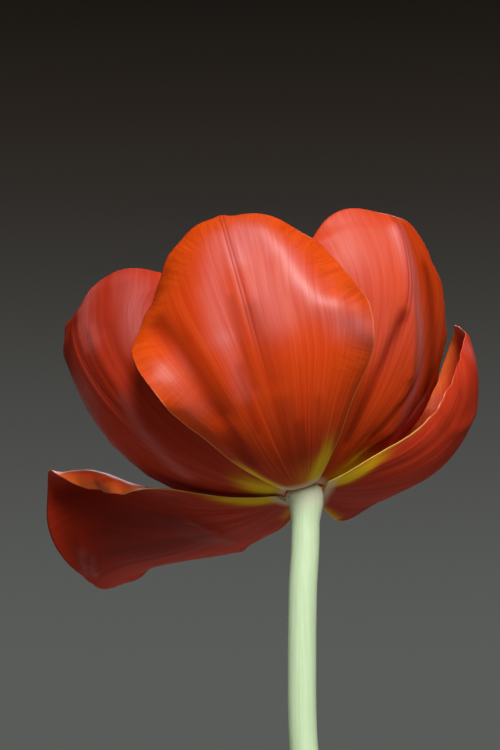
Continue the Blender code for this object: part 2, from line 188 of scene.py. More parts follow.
def add_lamp(name, azimuth, elevation, distance, size, watts, spread):
    """A soft square lamp that is aimed at the flower. Azimuth 0 is in front, 90 at the right."""
    lamp = bpy.data.lights.new(name, "AREA")
    lamp.shape = "SQUARE"
    lamp.size = size
    lamp.energy = watts
    lamp.spread = math.radians(spread)
    turn, rise = math.radians(azimuth), math.radians(elevation)
    towards = Vector(
        (math.sin(turn) * math.cos(rise), -math.cos(turn) * math.cos(rise), math.sin(rise))
    )
    obj = bpy.data.objects.new(name, lamp)
    obj.location = FLOWER_CENTRE * MM + towards * distance
    obj.rotation_mode = "QUATERNION"
    obj.rotation_quaternion = towards.to_track_quat("Z", "Y")
    bpy.context.scene.collection.objects.link(obj)


add_lamp("front_lamp", 10, 34, 1.5, 0.7, 2.35, 40)
add_lamp("back_lamp", 180, 40, 1.5, 0.6, 1.5, 90)
add_lamp("top_lamp", 20, 85, 1.8, 1.0, 0.2, 120)

# The camera stands in front of the flower and below it, 60 cm off, and looks up at it.
CAMERA_RISE = math.radians(12)
CAMERA_DISTANCE = 600.0
LENS = 120.0
# From the receptacle to the middle of the picture, to the right and up.
FRAMING = (-12.7, 28.1)
back_from_flower = Vector((0, -math.cos(CAMERA_RISE), -math.sin(CAMERA_RISE)))
camera_up = Vector((0, -math.sin(CAMERA_RISE), math.cos(CAMERA_RISE)))
aim = FLOWER_CENTRE + Vector((FRAMING[0], 0, 0)) + camera_up * FRAMING[1]
camera = bpy.data.objects.new("camera", bpy.data.cameras.new("camera"))
camera.data.lens = LENS
camera.data.clip_start = 0.05
camera.location = (FLOWER_CENTRE + back_from_flower * CAMERA_DISTANCE) * MM
camera.rotation_mode = "QUATERNION"
camera.rotation_quaternion = (aim * MM - camera.location).to_track_quat("-Z", "Y")
bpy.context.scene.collection.objects.link(camera)
bpy.context.scene.camera = camera
bpy.context.scene.view_settings.view_transform = "Standard"


# Vase
#
# A small vase thrown on the wheel and glazed off-white inside and out. Its foot ring is
# wiped clean of glaze, and the glaze thins a little over the lip.

def through(stations, values, places):
    """Values at the given places, on a smooth curve through those at the stations."""
    stations = np.asarray(stations, float)
    values = np.asarray(values, float)
    places = np.clip(places, stations[0], stations[-1])
    slopes = np.gradient(values)
    slopes[1:-1] = (values[2:] - values[:-2]) / (stations[2:] - stations[:-2])
    slopes[0] = (values[1] - values[0]) / (stations[1] - stations[0])
    slopes[-1] = (values[-1] - values[-2]) / (stations[-1] - stations[-2])
    index = np.clip(np.searchsorted(stations, places, side="right") - 1, 0, len(stations) - 2)
    span = stations[index + 1] - stations[index]
    t = (places - stations[index]) / span
    return (
        (1 + 2 * t) * (1 - t) ** 2 * values[index]
        + t * (1 - t) ** 2 * span * slopes[index]
        + t * t * (3 - 2 * t) * values[index + 1]
        + t * t * (t - 1) * span * slopes[index + 1]
    )


def ease(start, end, x):
    t = np.clip((x - start) / (end - start), 0, 1)
    return t * t * (3 - 2 * t)


VASE_HEIGHT = 130.0
VASE_WALL = 3.5
VASE_FLOOR = 5.0
FOOT_RADIUS = 22.0
FOOT_EDGE = 1.2
FOOT_TOP = 3.0
CORNER_INSET, CORNER_HEIGHT = 6.0, 12.0
VASE_STATIONS = (0.0, 0.06, 0.2, 0.38, 0.58, 0.76, 0.88, 0.96, 1.0)
VASE_RADII = (22.5, 24.5, 31.0, 34.5, 30.5, 19.0, 13.4, 13.2, 14.6)
LIP_HEIGHT, LIP_ROUNDING = 1.5, 0.6
VASE_RINGS = 60
VASE_SIDES = 144


def vase_radius(height):
    return float(through(VASE_STATIONS, VASE_RADII, height / VASE_HEIGHT))


def bore_radius(height):
    """The vase's inside radius, drawn in towards its floor."""
    inset = CORNER_INSET * (1 - ease(VASE_FLOOR, VASE_FLOOR + CORNER_HEIGHT, height))
    return vase_radius(height) - VASE_WALL - inset


def add_piece(name, bm, finishes, node):
    """The bmesh as a smooth piece that rides the frame and stands for a CAD node."""
    mesh = bpy.data.meshes.new(name)
    bm.to_mesh(mesh)
    bm.free()
    mesh.shade_smooth()
    piece = bpy.data.objects.new(name, mesh)
    for finish in finishes:
        mesh.materials.append(finish)
    bpy.context.scene.collection.objects.link(piece)
    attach(piece, "root")
    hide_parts(node)
    return piece


def turned(profile, sides):
    """A profile of (radius, height) points that starts and ends on the axis, spun round it."""
    bm = bmesh.new()
    verts = [bm.verts.new((radius * MM, 0, height * MM)) for radius, height in profile]
    edges = [bm.edges.new(pair) for pair in zip(verts, verts[1:])]
    bmesh.ops.spin(
        bm, geom=verts + edges, cent=(0, 0, 0), axis=(0, 0, 1), angle=math.tau,
        steps=sides, use_merge=True,
    )
    bmesh.ops.remove_doubles(bm, verts=bm.verts, dist=0.000001)
    bmesh.ops.recalc_face_normals(bm, faces=bm.faces)
    return bm


def glaze_finish():
    """Off-white glaze: cloudy, faintly speckled with iron, and bare clay under the foot."""
    made, wire, shader = new_finish("glaze", {"Coat Roughness": 0.06, "Coat IOR": 1.5})
    at = wire.node("ShaderNodeTexCoord", output="Object")
    height = at.split()[2] * 1000
    cloud = at.grain(28, detail=4.0)
    specks = at.grain(900, detail=1.0).rise(0.71, 0.76)
    rings = wire.vector(0.0, 0.0, height).grain(1.1, detail=2.0)
    glaze = cloud.rise(0.3, 0.7).tint((0.80, 0.77, 0.70), (0.86, 0.84, 0.79))
    glaze = (specks * 0.55).tint(glaze, (0.30, 0.22, 0.14))
    thin = height.rise(VASE_HEIGHT - 1.6, VASE_HEIGHT - 0.2)
    glaze = (thin * 0.5).tint(glaze, (0.62, 0.52, 0.40))
    bare = (height + cloud * 0.6).rise(1.4, 1.1)
    clay = at.grain(1600, detail=2.0)
    wire.fill(shader, {
        "Base Color": bare.tint(glaze, clay.tint((0.50, 0.40, 0.30), (0.62, 0.52, 0.41))),
        "Roughness": bare * 0.55 + 0.22 + cloud * 0.06,
        "Coat Weight": (1 - bare) * 0.6,
        "Normal": (rings * 0.8 + cloud * 0.5 + clay * bare * 0.4).relief(0.00018),
    })
    return made


inside = [(0, VASE_FLOOR)]
for z in np.linspace(VASE_FLOOR, VASE_HEIGHT - LIP_HEIGHT, VASE_RINGS):
    inside.append((bore_radius(z), z))
lip = [
    (
        vase_radius(VASE_HEIGHT) - VASE_WALL / 2 - math.cos(turn) * (VASE_WALL / 2 - LIP_ROUNDING / 2),
        VASE_HEIGHT - LIP_ROUNDING + math.sin(turn) * LIP_ROUNDING,
    )
    for turn in np.linspace(0, math.pi, 11)
]
outside = []
for z in np.linspace(VASE_HEIGHT - LIP_HEIGHT, FOOT_TOP, VASE_RINGS):
    outside.append((vase_radius(z), z))
foot = [(FOOT_RADIUS, FOOT_EDGE), (FOOT_RADIUS - FOOT_EDGE / 2, 0.25), (FOOT_RADIUS - FOOT_EDGE, 0), (0, 0)]
vase = add_piece(
    "vase_body", turned(inside + lip + outside + foot, VASE_SIDES), [glaze_finish()], "vase"
)


# Water
#
# Clear water that fills the vase to just below its shoulder, with its rim drawn up a little
# where it meets the glaze.

WATER_LEVEL = 93.2
WATER_GAP = 0.4


def water_finish():
    made, wire, shader = new_finish("water", {
        "Transmission Weight": 1.0, "IOR": 1.333, "Roughness": 0.02,
    })
    at = wire.node("ShaderNodeTexCoord", output="Object")
    wire.fill(shader, {
        "Base Color": at.grain(60, detail=2.0).tint((0.90, 0.96, 0.93), (0.94, 0.98, 0.96)),
        "Normal": at.grain(90, detail=1.0).relief(0.00004),
    })
    return made


water_profile = [(0, WATER_LEVEL - 0.4)]
for share in np.linspace(0.2, 1.0, 9):
    edge = bore_radius(WATER_LEVEL) - WATER_GAP
    water_profile.append((edge * share, WATER_LEVEL - 0.4 + 0.4 * share**14))
for z in np.linspace(WATER_LEVEL - 1.0, VASE_FLOOR + 0.3, 30):
    water_profile.append((bore_radius(z) - WATER_GAP, z))
water_profile.append((0, VASE_FLOOR + 0.3))
water = add_piece("water_in_vase", turned(water_profile, 96), [water_finish()], "water")


# Stem
#
# A living stalk: smooth, pale green, round, and a little thicker where it becomes the
# receptacle, the small shouldered pad that carries all the parts of the flower.

STEM_RADIUS = 3.4
STEM_ROUTE = (
    (8.0, 3.6, 5.6),
    (7.4, 2.5, 60.0),
    (4.6, 1.0, 115.0),
    (0.4, -0.6, 160.0),
    (-3.4, -1.3, 202.0),
    (-3.6, -1.0, 222.0),
    (-3.3, -0.2, 238.0),
    (-2.75, 0.6, 247.0),
    (-2.55, 1.1, 254.5),
)
STEM_POINTS = 22
STEM_FINE = 6
STEM_SIDES = 40
# Distances along the flower's axis and the radius of the receptacle there.
RECEPTACLE = (
    (-3.2, 4.1), (-1.8, 4.5), (-0.2, 4.45), (0.2, 4.1),
    (0.5, 3.85), (1.5, 3.7), (2.0, 3.1),
)
TILT_LEFT = 12.0
TILT_BACK = 8.0
flower_frame = (
    Matrix.Translation(FLOWER_CENTRE)
    @ Matrix.Rotation(math.radians(-TILT_LEFT), 4, "Y")
    @ Matrix.Rotation(math.radians(-TILT_BACK), 4, "X")
)


def stem_route(count):
    """Evenly spaced points up the stem's route."""
    route = np.array(STEM_ROUTE)
    lengths = np.linalg.norm(np.diff(route, axis=0), axis=1)
    at = np.concatenate([[0], np.cumsum(lengths)])
    places = np.linspace(0, at[-1], count)
    up = np.stack([through(at, route[:, axis], places) for axis in range(3)], axis=-1)
    return [Vector(point) for point in up]


def tube(points, sides):
    """A closed round tube: a circle at the first of the (centre, radius) points, drawn on
    from each to the next."""
    bm = bmesh.new()
    ring = bmesh.ops.create_circle(bm, cap_ends=False, segments=sides, radius=1.0)["verts"]
    circle = [vert.co.copy() for vert in ring]
    edges = list(bm.edges)
    previous = None
    for index, (centre, radius) in enumerate(points):
        before = points[max(index - 1, 0)][0]
        after = points[min(index + 1, len(points) - 1)][0]
        turn = Vector((0, 0, 1)).rotation_difference(after - before).to_matrix()
        if previous is None:
            bmesh.ops.holes_fill(bm, edges=edges, sides=0)
        else:
            made = bmesh.ops.extrude_edge_only(bm, edges=edges)["geom"]
            ring = [item for item in made if isinstance(item, bmesh.types.BMVert)]
            edges = [item for item in made if isinstance(item, bmesh.types.BMEdge)]
            edges = [edge for edge in edges if all(vert in ring for vert in edge.verts)]
        for vert, rim in zip(ring, circle):
            vert.co = (centre + turn @ (rim * radius)) * MM
        previous = centre
    bmesh.ops.holes_fill(bm, edges=edges, sides=0)
    bmesh.ops.recalc_face_normals(bm, faces=bm.faces)
    return bm


def stem_finish():
    """Waxy green skin with fine lengthwise strands, turning cream towards the receptacle."""
    made, wire, shader = new_finish("stem_skin", {
        "Specular IOR Level": 0.3,
        "Subsurface Weight": 0.4, "Subsurface Scale": 0.003,
        "Subsurface Radius": (0.8, 1.0, 0.5),
    })
    at = wire.node("ShaderNodeTexCoord", output="Object")
    x, y, z = at.split()
    strands = wire.vector(x * 1500, y * 1500, z * 25).grain(1.0, detail=3.0)
    cloud = at.grain(45, detail=3.0)
    skin = strands.rise(0.25, 0.75).tint((0.52, 0.66, 0.40), (0.60, 0.74, 0.48))
    skin = cloud.rise(0.35, 0.75).tint(skin, (0.56, 0.71, 0.44))
    top = (z * 1000).rise(254, 262)
    skin = (top * 0.8).tint(skin, (0.72, 0.70, 0.50))
    wire.fill(shader, {
        "Base Color": skin,
        "Roughness": strands * 0.12 + 0.52,
        "Normal": (strands * 0.7 + cloud * 0.5).relief(0.00010),
    })
    return made


stem_line = [(centre, STEM_RADIUS) for centre in stem_route((STEM_POINTS - 1) * STEM_FINE + 1)]
flower_axis = flower_frame.to_3x3() @ Vector((0, 0, 1))
for distance, radius in RECEPTACLE:
    stem_line.append((FLOWER_CENTRE + flower_axis * distance, radius))
stem = add_piece("flower_stem", tube(stem_line, STEM_SIDES), [stem_finish()], "stem")


# Leaves
#
# Two long blades that clasp the stem where they grow from it. They are thick and limp, a
# bluish green with a waxy bloom, and veined along their length.

STATIONS = (0.0, 0.12, 0.3, 0.5, 0.7, 0.85, 1.0)
NONE = (0, 0, 0, 0, 0, 0, 0)
LEAF_SEAT = (STEM_RADIUS + 0.75, 0.0)


def half(width, cup, flare=NONE, **outline):
    """One half of a blade: its half widths, how far its margin turns inwards (cup) and back
    out (a negative flare), in degrees, and the outline's shoulder, roundness and lobe."""
    usual = dict(shoulder=0.42, roundness=2.0, fullness=2.0, lobe=0.0, flare_from=0.45)
    return dict(usual, width=width, cup=cup, flare=flare, **outline)


def blade(length, seat, lean, left, right, **more):
    """A petal or leaf: at each station its midrib's angle from the upright (lean), to the
    side (sway) and about itself (twist), and the angle of each half at the midrib (fold)."""
    usual = dict(sway=NONE, twist=NONE, fold=0.0, point=0.012, azimuth=0.0)
    return dict(usual, length=length, seat=seat, lean=lean, left=left, right=right, **more)


def running_sum(rates, step):
    """The integral of a row of vectors that are a step apart, starting at nought."""
    total = np.zeros_like(rates)
    total[1:] = np.cumsum((rates[1:] + rates[:-1]) * (step / 2), axis=0)
    return total


def blade_surface(shape, across, along):
    """The middle surface of a blade in its own frame, -Y outwards and +Z up, and for each
    point its distance from the midrib and its place from root (0) to tip (1)."""
    fine = np.linspace(0, 1, 321)
    lean, sway, twist = (
        np.radians(through(STATIONS, shape[key], fine))[:, None]
        for key in ("lean", "sway", "twist")
    )
    outwards, sideways, upwards = np.array([[0, -1, 0], [1, 0, 0], [0, 0, 1]], float)
    tangent = np.cos(sway) * (np.sin(lean) * outwards + np.cos(lean) * upwards)
    tangent = tangent + np.sin(sway) * sideways
    midrib = running_sum(tangent, shape["length"] / (len(fine) - 1))
    midrib = midrib + shape["seat"][0] * outwards + shape["seat"][1] * upwards
    span = np.cross(tangent, np.cos(lean) * outwards - np.sin(lean) * upwards)
    span = span / np.linalg.norm(span, axis=1)[:, None]
    back = np.cross(span, tangent)
    spans = np.cos(twist) * span + np.sin(twist) * back
    backs = np.cos(twist) * back - np.sin(twist) * span

    points = np.zeros((len(across), 3))
    beside = np.zeros(len(across))
    place = np.zeros(len(across))
    steps = np.linspace(0, 1, 33)
    for sign, name in ((-1, "left"), (1, "right")):
        side = shape[name]
        chosen = across * sign >= 0
        u = np.abs(across[chosen])
        drop = 1 - np.clip(1 - u ** side["roundness"], 0, 1) ** (1 / side["fullness"])
        reach = 1 - side["shoulder"] * drop
        reach = reach + side["lobe"] * np.sin(math.pi * np.clip(u / 0.9, 0, 1))
        reach = reach + shape["point"] * np.exp(-((u / 0.06) ** 2))
        s = along[chosen] * reach
        width, cup, flare = (
            through(STATIONS, side[key], s)[:, None] for key in ("width", "cup", "flare")
        )
        uu = u[:, None] * steps
        fold = shape["fold"] * ease(0.02, 0.2, s)[:, None]
        turn = fold * ease(0, 0.15, uu) + cup * uu + flare * ease(side["flare_from"], 1, uu)
        turn = np.radians(turn)
        reach_out = sign * width[:, 0] * np.trapz(np.cos(turn), uu, axis=1)
        reach_in = -width[:, 0] * np.trapz(np.sin(turn), uu, axis=1)
        at = [
            np.stack([np.interp(s, fine, table[:, axis]) for axis in range(3)], axis=-1)
            for table in (midrib, spans, backs)
        ]
        past_tip = np.clip(s - 1, 0, None)[:, None] * shape["length"] * tangent[-1]
        points[chosen] = at[0] + past_tip + reach_out[:, None] * at[1] + reach_in[:, None] * at[2]
        beside[chosen] = across[chosen] * width[:, 0]
        place[chosen] = s
    return points, beside, place


def stroked(beside, place, length, strokes):
    """The sum of soft strokes at each point. A stroke is a line of (distance from the midrib,
    place) points, its strength (below nought for a crease) and its half width; it fades away
    past both ends."""
    at = np.stack([beside, place * length], axis=-1)
    touched = np.zeros(len(at))
    for line, strength, width in strokes:
        points = np.array([(x, y * length) for x, y in line])
        nearest = np.full(len(at), np.inf)
        for start, end in zip(points, points[1:]):
            step = end - start
            share = np.clip(((at - start) @ step) / (step @ step), 0, 1)
            apart = np.linalg.norm(at - start - share[:, None] * step, axis=1)
            nearest = np.minimum(nearest, apart)
        touched += strength * np.exp(-((nearest / width) ** 2))
    return touched


def blade_mesh(shape, columns, rows, matrix, seed, relief, strokes=None):
    """A blade as an open grid in the row frame. Each point carries its course (distance from
    the midrib, place from root to tip, vein), its hem (distance to the margin, and how far
    round the margin that is) and its paint (waxy bloom with a painted highlight, painted shade,
    yellow). relief and the strokes to raise lift it by fractions of a millimetre."""
    strokes = strokes or {}
    bm = bmesh.new()
    bmesh.ops.create_grid(bm, x_segments=columns, y_segments=rows, size=1.0)
    places = np.array([vert.co[:2] for vert in bm.verts])
    share = np.abs(places[:, 0])
    across = np.sign(places[:, 0]) * np.sin((0.4 * share + 0.6 * share**2) * math.pi / 2)
    points, beside, place = blade_surface(shape, across, (places[:, 1] + 1) / 2)
    margin = np.flatnonzero((share > 0.9999) | (places[:, 1] > 0.9999))
    turn = np.where(places[margin, 1] > 0.9999, places[margin, 0] * 2, 0)
    turn = turn + np.where(share[margin] > 0.9999, places[margin, 0] * (3 - places[margin, 1]), 0)
    margin = margin[np.argsort(turn)]
    round_margin = np.linalg.norm(np.diff(points[margin], axis=0), axis=1).cumsum()
    round_margin = np.concatenate([[0], round_margin])
    inset = np.zeros(len(points))
    hem = np.zeros(len(points))
    for start in range(0, len(points), 2000):
        apart = ((points[start:start + 2000, None] - points[None, margin]) ** 2).sum(axis=2)
        inset[start:start + 2000] = np.sqrt(apart.min(axis=1))
        hem[start:start + 2000] = round_margin[apart.argmin(axis=1)]
    vein = across * (1 - 0.45 * np.clip(place, 0, 1))
    for vert, point in zip(bm.verts, points):
        vert.co = Vector(point)
    bm.normal_update()
    # The wax strokes are waxy bloom with a painted highlight; the dark strokes are painted shade.
    raised, wax_and_highlight, dark, yellow = (
        stroked(beside, place, shape["length"], strokes.get(key, ()))
        for key in ("raise", "wax_and_highlight", "dark", "yellow")
    )
    paint = np.clip(np.stack([wax_and_highlight, dark, yellow], axis=-1), 0, 1)
    raised = raised + relief(across, beside, place, vein, inset)
    for vert, height in zip(bm.verts, raised):
        vert.co += vert.normal * float(height)
        vert.co = (matrix @ vert.co) * MM
    course_layer = bm.verts.layers.float_vector.new("course")
    hem_layer = bm.verts.layers.float_vector.new("hem")
    paint_layer = bm.verts.layers.float_vector.new("paint")
    for index, vert in enumerate(bm.verts):
        vert[course_layer] = (beside[index], place[index], vein[index] + 10 * seed)
        vert[hem_layer] = (inset[index], hem[index], 0)
        vert[paint_layer] = paint[index]
    return bm


def thicken(piece, thickness, margin_share, taper):
    """Gives a blade its thickness, less towards its margin. Its finishes are the outside,
    the inside and the cut of the margin."""
    group = piece.vertex_groups.new(name="body")
    for index, value in enumerate(piece.data.attributes["hem"].data):
        group.add([index], min(1.0, value.vector[0] / taper) ** 0.7, "REPLACE")
    solidify = piece.modifiers.new("thickness", "SOLIDIFY")
    solidify.thickness = thickness * MM
    solidify.offset = 0
    solidify.vertex_group = "body"
    solidify.thickness_vertex_group = margin_share
    solidify.material_offset = 1
    solidify.material_offset_rim = 2


def leaf_finish(name, dark, light):
    """Waxy green with parallel veins; dark and light are the two greens between them."""
    made, wire, shader = new_finish(name, {
        "Sheen Weight": 0.12, "Sheen Roughness": 0.4, "Sheen Tint": (0.8, 0.95, 0.95, 1),
    })
    course = wire.node(
        "ShaderNodeAttribute", {"attribute_name": "course"}, output="Vector"
    )
    beside, place, vein = course.split()
    veins = wire.vector(vein * 38, place * 1.5, 0.0).grain(1.0, detail=2.0)
    hair = wire.vector(vein * 150, place * 5, 3.0).grain(1.0, detail=2.0)
    cloud = wire.node("ShaderNodeTexCoord", output="Object").grain(55, detail=3.0)
    skin = veins.rise(0.3, 0.7).tint(dark, light)
    skin = (hair.rise(0.45, 0.75) * 0.35).tint(skin, (0.30, 0.42, 0.27))
    skin = (cloud.rise(0.4, 0.8) * 0.3).tint(skin, (0.20, 0.30, 0.22))
    skin = (place.rise(0.22, 0.0) * 0.75).tint(skin, (0.42, 0.55, 0.30))
    skin = ((beside * beside).rise(1.2, 0.2) * 0.35).tint(skin, (0.33, 0.45, 0.24))
    wire.fill(shader, {
        "Base Color": skin,
        "Roughness": hair * 0.15 + 0.42,
        "Normal": (veins + hair * 0.4).relief(0.00018),
    })
    return made


def leaf_relief(across, beside, place, vein, inset):
    """A channel down the midrib and long shallow folds beside it."""
    channel = -0.35 * np.exp(-((beside / 0.9) ** 2))
    folds = 0.10 * np.sin(vein * 24) + 0.05 * np.sin(vein * 61 + 1)
    wave = 0.7 * np.abs(across) ** 6 * np.sin(place * 31 + np.sign(across)) * ease(0.25, 0.5, place)
    return (channel + folds) * ease(0, 3, inset) + wave


LEAVES = {
    "leaf_lower": (0.517, blade(
        azimuth=-52, length=128, seat=LEAF_SEAT, fold=0, point=0.03,
        lean=(2, 8, 34, 62, 84, 100, 116), sway=(0, 0, 2, 5, 8, 6, 2),
        left=half(
            width=(7.4, 11, 15, 16, 13, 9, 6), cup=(100, 92, 60, 42, 34, 26, 20),
            shoulder=0.8, roundness=1.6, fullness=1.3,
        ),
        right=half(
            width=(7.4, 11, 14, 15, 13, 9, 6), cup=(100, 92, 56, 36, 34, 30, 20),
            shoulder=0.8, roundness=1.6, fullness=1.3,
        ),
    )),
    "leaf_upper": (0.582, blade(
        azimuth=118, length=98, seat=LEAF_SEAT, fold=0, point=0.03,
        lean=(2, 10, 44, 74, 88, 96, 104), sway=(0, 0, -3, -6, -6, -2, 2),
        left=half(
            width=(7.4, 10, 12, 12, 10, 7, 5), cup=(100, 88, 56, 40, 34, 26, 20),
            shoulder=0.8, roundness=1.6, fullness=1.3,
        ),
        right=half(
            width=(7.4, 10, 12, 12.5, 10, 7, 5), cup=(100, 88, 60, 38, 30, 26, 20),
            shoulder=0.8, roundness=1.6, fullness=1.3,
        ),
    )),
}
leaf_skins = [
    leaf_finish("leaf_underside", (0.13, 0.25, 0.13), (0.19, 0.32, 0.18)),
    leaf_finish("leaf_face", (0.09, 0.20, 0.09), (0.14, 0.28, 0.12)),
    leaf_finish("leaf_margin", (0.30, 0.40, 0.22), (0.36, 0.46, 0.26)),
]
leaf_stem = stem_route(STEM_POINTS)
for seed, (node, (share, shape)) in enumerate(LEAVES.items()):
    place = share * (STEM_POINTS - 1)
    lower, upper = leaf_stem[int(place)], leaf_stem[int(place) + 1]
    matrix = (
        Matrix.Translation(lower.lerp(upper, place - int(place)))
        @ Vector((0, 0, 1)).rotation_difference(upper - lower).to_matrix().to_4x4()
        @ Matrix.Rotation(math.radians(shape["azimuth"]), 4, "Z")
    )
    bm = blade_mesh(shape, 64, 150, matrix, seed, leaf_relief)
    leaf = add_piece(node + "_blade", bm, leaf_skins, node)
    thicken(leaf, 0.7, 0.5, 1.5)


# Pistil
#
# The seed pod in the middle of the flower: a green three-sided column under a pale stigma
# of three furry lobes.

OVARY_BASE = 2.35
OVARY_HEIGHT = 21.0
OVARY_RADIUS = 3.3
OVARY_STATIONS = (0.0, 0.15, 0.45, 0.75, 0.9, 1.0)
OVARY_SWELL = (0.55, 0.85, 1.0, 0.85, 0.7, 0.6)
OVARY_RIDGE = 0.1
STIGMA_REACH = 2.3
STIGMA_DROOP = 14.0
STIGMA_LOBE = (3.6, 1.3, 1.5)


def pistil_finish():
    made, wire, shader = new_finish("pistil_skin", {
        "Subsurface Weight": 0.1, "Subsurface Scale": 0.001,
    })
    at = wire.node("ShaderNodeTexCoord", output="Object")
    x, y, z = at.split()
    along = (z * 1000 - FLOWER_CENTRE.z).rise(17.5, 22.0)
    fur = at.grain(2600, detail=2.0)
    strands = wire.vector(x * 1800, y * 1800, z * 120).grain(1.0, detail=2.0)
    pod = strands.tint((0.30, 0.40, 0.14), (0.46, 0.55, 0.24))
    stigma = fur.rise(0.3, 0.7).tint((0.55, 0.48, 0.20), (0.78, 0.74, 0.46))
    wire.fill(shader, {
        "Base Color": along.tint(pod, stigma),
        "Roughness": along * 0.35 + 0.45,
        "Normal": (fur * along + strands * 0.4).relief(0.0002),
    })
    return made


def ellipsoid(bm, size, matrix, segments, rings):
    """A ball scaled to these half sizes, under a matrix in millimetres."""
    scale = Matrix.Diagonal((*size, 1))
    bmesh.ops.create_uvsphere(
        bm, u_segments=segments, v_segments=rings, radius=1.0, matrix=matrix @ scale
    )


def placed(bm, matrix):
    """A bmesh in millimetres moved by the matrix and turned into metres."""
    bmesh.ops.transform(bm, matrix=Matrix.Scale(MM, 4) @ matrix, verts=bm.verts)
    return bm


bm = bmesh.new()
ellipsoid(bm, (1, 1, 1), Matrix.Identity(4), 72, 48)
for vert in bm.verts:
    share = (vert.co.z + 1) / 2
    angle = math.atan2(vert.co.y, vert.co.x)
    swell = float(through(OVARY_STATIONS, OVARY_SWELL, share))
    rounding = min(1.0, math.hypot(vert.co.x, vert.co.y) * 2.4)
    ridges = 1 + OVARY_RIDGE * math.cos(3 * angle) + 0.03 * math.cos(6 * angle)
    radius = OVARY_RADIUS * swell * rounding * ridges
    vert.co.x = radius * math.cos(angle)
    vert.co.y = radius * math.sin(angle)
    vert.co.z = OVARY_BASE + OVARY_HEIGHT * share
for index in range(3):
    spin = Matrix.Rotation(math.radians(120 * index), 4, "Z")
    place = Matrix.Translation((STIGMA_REACH, 0, OVARY_BASE + OVARY_HEIGHT))
    droop = Matrix.Rotation(math.radians(STIGMA_DROOP), 4, "Y")
    ellipsoid(bm, STIGMA_LOBE, spin @ place @ droop, 40, 24)
pistil = add_piece("seed_pod", placed(bm, flower_frame), [pistil_finish()], "pistil")


# Stamens
#
# Six dark filaments in a ring round the pod's foot, each with a long anther that is dusty
# with purple-black pollen.

STAMEN_COUNT = 6
RING_INNER, RING_OUTER = 2.9, 4.0
RING_BASE, RING_TOP = 2.35, 3.2
FILAMENT_LENGTH = 9.0
FILAMENT_RADII = (0.95, 0.55)
FILAMENT_LEAN = 16.0
ANTHER_SIZE = (1.35, 1.1, 6.2)


def stamen_finish():
    made, wire, shader = new_finish("stamen_skin", {})
    at = wire.node("ShaderNodeTexCoord", output="Object")
    height = at.split()[2] * 1000 - FLOWER_CENTRE.z
    dust = at.grain(2200, detail=3.0)
    lower = height.rise(13.0, 9.5)
    anther = dust.rise(0.35, 0.7).tint((0.018, 0.008, 0.020), (0.085, 0.045, 0.085))
    filament = height.rise(3.0, 9.0).tint((0.34, 0.30, 0.10), (0.05, 0.02, 0.03))
    wire.fill(shader, {
        "Base Color": lower.tint(anther, filament),
        "Roughness": 0.9 - lower * 0.35,
        "Normal": (dust * (1.1 - lower)).relief(0.00025),
    })
    return made


bm = bmesh.new()
ring_profile = [
    (RING_INNER, RING_TOP),
    (RING_OUTER, RING_TOP),
    (RING_OUTER, RING_BASE),
    (RING_INNER, RING_BASE),
]
verts = [bm.verts.new((radius, 0, height)) for radius, height in ring_profile]
edges = [bm.edges.new((verts[i], verts[(i + 1) % 4])) for i in range(4)]
bmesh.ops.spin(
    bm, geom=verts + edges, cent=(0, 0, 0), axis=(0, 0, 1), angle=math.tau, steps=48, use_merge=True
)
for index in range(STAMEN_COUNT):
    spin = Matrix.Rotation(math.tau * (index + 0.5) / STAMEN_COUNT, 4, "Z")
    foot = Matrix.Translation(((RING_INNER + RING_OUTER) / 2, 0, (RING_BASE + RING_TOP) / 2))
    stand = spin @ foot @ Matrix.Rotation(math.radians(FILAMENT_LEAN), 4, "Y")
    bmesh.ops.create_cone(
        bm, cap_ends=True, segments=20, depth=FILAMENT_LENGTH,
        radius1=FILAMENT_RADII[0], radius2=FILAMENT_RADII[1],
        matrix=stand @ Matrix.Translation((0, 0, FILAMENT_LENGTH / 2)),
    )
    first = len(bm.verts)
    top = stand @ Matrix.Translation((0, 0, FILAMENT_LENGTH + 0.8 * ANTHER_SIZE[2]))
    ellipsoid(bm, ANTHER_SIZE, top, 28, 40)
    bm.verts.ensure_lookup_table()
    for vert in bm.verts[first:]:
        local = top.inverted() @ vert.co
        groove = 1 - 0.22 * math.exp(-((local.x / 0.35) ** 2)) * (1 if local.y < 0 else 0.6)
        local.y *= groove
        vert.co = top @ local
bmesh.ops.recalc_face_normals(bm, faces=bm.faces)
stamens = add_piece("stamen_ring", placed(bm, flower_frame), [stamen_finish()], "stamens")
